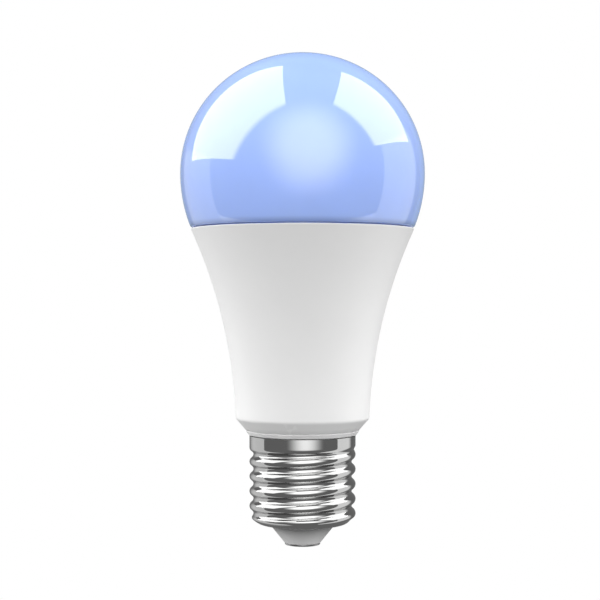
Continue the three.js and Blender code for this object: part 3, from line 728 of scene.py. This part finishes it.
def floor():
    """A plain white floor that only the camera sees."""
    material = bpy.data.materials.new("floor")
    nodes = Nodes(material)
    shader = nodes.tree.nodes["Principled BSDF"]
    white_glow = {"Base Color": BLACK, "Specular IOR Level": 0,
                  "Emission Color": WHITE, "Emission Strength": 1}
    for name, value in white_glow.items():
        nodes.feed(shader.inputs[name], value)
    corners = [(FLOOR_HALF * i, FLOOR_HALF * j, FLOOR_Z) for i, j in ((-1, -1), (1, -1), (1, 1), (-1, 1))]
    made = stage_sheet("floor", corners, material)
    for ray in ("diffuse", "glossy", "transmission", "shadow"):
        setattr(made, "visible_" + ray, False)


# ---------- light: cards round the bulb, placed in metres from the globe's centre ----------

GLOBE_CENTRE = Vector((0, 0, GLOBE_WIDEST_Z * MM))
ROOM_GREY = (0.2, 0.2, 0.2)
PANEL_DISTANCE = 1.2
ROUND_LIGHT_DISTANCE = 1.3
CARD_SPACING = 0.01
BACKDROP_TINT = (0.45, 0.75, 1)
SOFTBOX_LEFT = ((-1.20, -0.61, 0.21), (-1.20, 0.85, 0.22), (-0.20, 0.69, 1.21), (-0.28, -0.63, 1.13))
SOFTBOX_RIGHT = ((1.03, -0.39, 0.38), (1.03, 0.68, 0.38), (0.37, 0.58, 1.05), (0.44, -0.45, 0.98))

INNER_LIGHT_PLACE = (0.00135, 0, 0.100)
INNER_LIGHT_WATTS = 0.015
INNER_LIGHT_RADIUS = 0.014
INNER_LIGHT_TINT = (0.55, 0.75, 1.0)


def world():
    """White behind the bulb, and a dim room for everything that lights it."""
    made = bpy.data.worlds.new("studio")
    nodes = Nodes(made)
    bpy.context.scene.world = made
    seen = nodes.add("ShaderNodeLightPath").outputs["Is Camera Ray"]
    nodes.feed(nodes.tree.nodes["Background"].inputs["Color"], nodes.blend(seen, ROOM_GREY, WHITE))


def direction(azimuth, elevation):
    """From the globe's centre, with azimuths to the right of the front and elevations up, in degrees."""
    a, e = math.radians(azimuth), math.radians(elevation)
    return Vector((math.sin(a) * math.cos(e), -math.cos(a) * math.cos(e), math.sin(e)))


def card_material(name):
    """A new material with an empty tree."""
    material = bpy.data.materials.new(name)
    nodes = Nodes(material)
    nodes.tree.nodes.clear()
    return material, nodes


def shine(nodes, strength, tint=WHITE):
    """Glow with clear added to it, so that no card shades another."""
    light = nodes.add("ShaderNodeEmission", {"Color": tint, "Strength": strength}).outputs[0]
    clear = nodes.add("ShaderNodeBsdfTransparent").outputs[0]
    both = nodes.add("ShaderNodeAddShader", {0: light, 1: clear}).outputs[0]
    nodes.add("ShaderNodeOutputMaterial", {"Surface": both})


def soft_edged(name, strength, soft, tint):
    """A glow that fades in over the share of the card given for its left, right, near and far edge."""
    material, nodes = card_material(name)
    uv = nodes.add("ShaderNodeTexCoord").outputs["UV"]
    across, along = nodes.add("ShaderNodeSeparateXYZ", {0: uv}).outputs[:2]
    left, right, near, far = soft
    for place, edge, width in ((across, 0, left), (across, 1, -right), (along, 0, near), (along, 1, -far)):
        if width:
            inputs = {0: place, 1: edge, 2: edge + width}
            fade = nodes.add("ShaderNodeMapRange", inputs, interpolation_type="SMOOTHSTEP").outputs[0]
            strength = nodes.reckon("MULTIPLY", fade, strength)
    shine(nodes, strength, tint)
    return material


def soft_round(name, strength, fade, half_tangent):
    """A glow that fades out between the two angles from its middle, as seen from the globe."""
    material, nodes = card_material(name)
    uv = nodes.add("ShaderNodeTexCoord").outputs["UV"]
    middle = (0.5, 0.5, 0)
    away = nodes.add("ShaderNodeVectorMath", {0: uv, 1: middle}, operation="DISTANCE").outputs["Value"]
    angle = nodes.reckon("ARCTANGENT", nodes.reckon("MULTIPLY", away, 2 * half_tangent))
    inner, outer = (math.radians(edge) for edge in fade)
    inputs = {0: angle, 1: outer, 2: inner, 3: 0, 4: strength}
    shine(nodes, nodes.add("ShaderNodeMapRange", inputs, interpolation_type="SMOOTHSTEP").outputs[0])
    return material


def shine_on(light, pieces, state):
    """Lights only the pieces given, or with EXCLUDE everything but them."""
    group = bpy.data.collections.new(light.name + "_lit")
    for piece in pieces:
        group.objects.link(piece)
    for member in group.collection_objects:
        member.light_linking.link_state = state
    light.light_linking.receiver_collection = group


class Studio:
    """Lit cards that the camera doesn't see, each hung once for every group of pieces that it lights.

    The globe's group is everything that isn't in the other two. Copies of a card hang a little further
    out each, because sheets in one place hide each other.
    """

    def __init__(self, outside):
        mouldings = [outside[node] for node in ("outer_housing", "base_insulator", "centre_contact")]
        cap = [outside["screw_shell"]]
        self.groups = (
            ("globe", "", mouldings + cap, "EXCLUDE"),
            ("mouldings", "_housing", mouldings, "INCLUDE"),
            ("cap", "_cap", cap, "INCLUDE"),
        )

    def hang(self, name, corners, material_of, strengths):
        """strengths holds the card's strength by group. A group it leaves out isn't lit."""
        for i, (group, suffix, pieces, state) in enumerate(self.groups):
            if group not in strengths:
                continue
            places = [GLOBE_CENTRE + Vector(corner) * (1 + CARD_SPACING * i) for corner in corners]
            made = stage_sheet(name + suffix, places, material_of(name + suffix, strengths[group]))
            made.visible_camera = False
            shine_on(made, pieces, state)

    def card(self, name, corners, soft, tint=WHITE, **strengths):
        """A flat card with soft edges."""
        def material_of(part, strength):
            return soft_edged(part, strength, soft, tint)
        self.hang(name, corners, material_of, strengths)

    def panel(self, name, start, end, low, high, soft, tint=WHITE, **strengths):
        """An upright card between two azimuths, with the elevations of its foot and top at each."""
        corners = []
        for azimuth, elevation in ((start, low[0]), (end, low[1]), (end, high[1]), (start, high[0])):
            towards = direction(azimuth, elevation)
            corners.append(towards * (PANEL_DISTANCE / math.cos(math.radians(elevation))))
        self.card(name, corners, soft, tint, **strengths)

    def round_light(self, name, azimuth, elevation, fade, **strengths):
        """A round soft light that faces the globe."""
        towards = direction(azimuth, elevation)
        across = direction(azimuth + 90, 0)
        upright = across.cross(towards)
        half_tangent = math.tan(math.radians(fade[1]))
        half = ROUND_LIGHT_DISTANCE * half_tangent
        corners = [towards * ROUND_LIGHT_DISTANCE + across * half * i + upright * half * j
                   for i, j in ((-1, -1), (1, -1), (1, 1), (-1, 1))]
        def material_of(part, strength):
            return soft_round(part, strength, fade, half_tangent)
        self.hang(name, corners, material_of, strengths)


def hang_lights(outside):
    """Two softboxes above, side panels, low strips, a dim blue backdrop and a round key light."""
    studio = Studio(outside)
    below, left_top, right_top = (-72, -72), (13, 13), (22, 22)
    studio.panel("backdrop", 140, 206, (-50, -50), (55, 55), (0.1, 0.1, 0.1, 0.1), BACKDROP_TINT, globe=0.2)
    studio.panel("globe_left", -148, -94, below, left_top, (0.1, 0, 0.1, 0.02), globe=0.42)
    studio.panel("globe_right", 80, 132, below, right_top, (0, 0.1, 0.1, 0.02), globe=0.58)
    studio.panel("low_left", -94, -48, (-32, -41.5), (-21, -37.5), (0, 0.9, 0.1, 0.1), globe=0.82)
    studio.panel("low_right", 38, 80, (-42, -32), (-38.5, -23), (0.9, 0, 0.1, 0.1), globe=0.78)
    studio.card("softbox_left", SOFTBOX_LEFT, (0.13, 0, 0, 0), globe=2.38, mouldings=3.2, cap=1.85)
    studio.card("softbox_right", SOFTBOX_RIGHT, (0.11, 0, 0, 0), globe=2.38, mouldings=4.0, cap=1.85)
    studio.panel("panel_left", -163, -91, below, left_top, (0.5, 0, 0.1, 0.02), mouldings=1.12, cap=0.70)
    studio.panel("panel_right", 81, 133, below, right_top, (0, 0.35, 0.1, 0.02), mouldings=1.12, cap=0.95)
    studio.round_light("key", 6, 22.5, (14, 51), globe=1.53, mouldings=2.72, cap=2.45)


def inner_light():
    """The lit source inside the globe."""
    data = bpy.data.lights.new("inner_light", "POINT")
    data.energy = INNER_LIGHT_WATTS
    data.shadow_soft_size = INNER_LIGHT_RADIUS
    data.color = INNER_LIGHT_TINT
    made = bpy.data.objects.new("inner_light", data)
    made.location = INNER_LIGHT_PLACE
    bpy.context.scene.collection.objects.link(made)


camera()
world()
outside_pieces = build_outside()
dress_inside()
floor()
hang_lights(outside_pieces)
inner_light()

scene = bpy.context.scene
scene.view_settings.view_transform = "Standard"
scene.cycles.use_denoising = True
